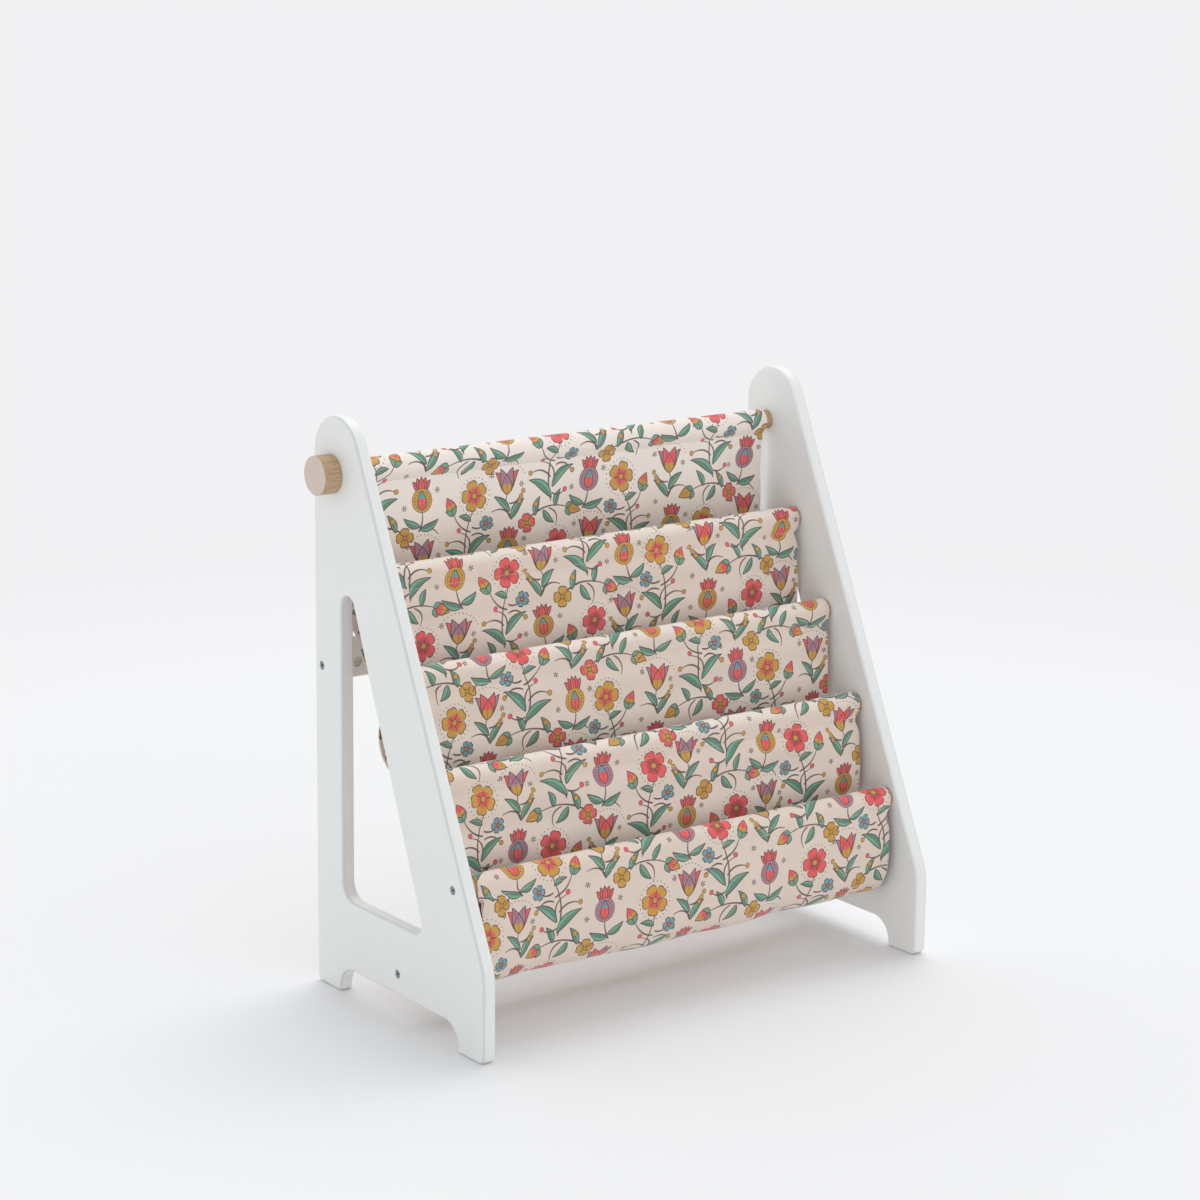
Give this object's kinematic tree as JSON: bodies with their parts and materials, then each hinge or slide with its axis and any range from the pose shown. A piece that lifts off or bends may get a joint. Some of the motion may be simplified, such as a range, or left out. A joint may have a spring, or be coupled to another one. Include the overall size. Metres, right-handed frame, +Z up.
{
  "type": "sling bookshelf",
  "caption": "Low front-facing bookshelf for children: white side panels with windows, wooden rods and a printed cloth sling that hangs in tiered book pockets.",
  "frame": {"origin": "on the floor, midway between the side panels and midway between their front and back edges", "axes": "+Z up, +X towards the right side panel as the reader sees it, the reader on the -Y side"},
  "size_m": [0.6146, 0.302, 0.5999],
  "materials": {
    "white_lacquer": "satin white lacquer on fibreboard with eased edges",
    "beech": "oiled natural beech, fine straight grain",
    "zinc_steel": "bright zinc plate",
    "sling_cloth": null
  },
  "bodies": {
    "root": {"side_panel_left": "white_lacquer", "side_panel_right": "white_lacquer", "rear_rail": "white_lacquer", "top_rod": "beech", "front_rod_2": "beech", "front_rod_3": "beech", "front_rod_4": "beech", "front_rod_5": "beech", "lower_stretcher": "beech", "knob_left": "beech", "knob_right": "beech", "rail_dowel_left": "beech", "rail_dowel_right": "beech", "knob_stud_left": "zinc_steel", "knob_stud_right": "zinc_steel", "rod_screw_left": "zinc_steel", "rod_screw_right": "zinc_steel", "stretcher_screw_left": "zinc_steel", "stretcher_screw_right": "zinc_steel", "rail_bolt_left": "zinc_steel", "rail_bolt_right": "zinc_steel", "barrel_nut_left": "zinc_steel", "barrel_nut_right": "zinc_steel", "sling_tier_1": "sling_cloth", "sling_tier_2": "sling_cloth", "sling_tier_3": "sling_cloth", "sling_tier_4": "sling_cloth", "sling_hem_5": "sling_cloth"}
  },
  "joints": []
}
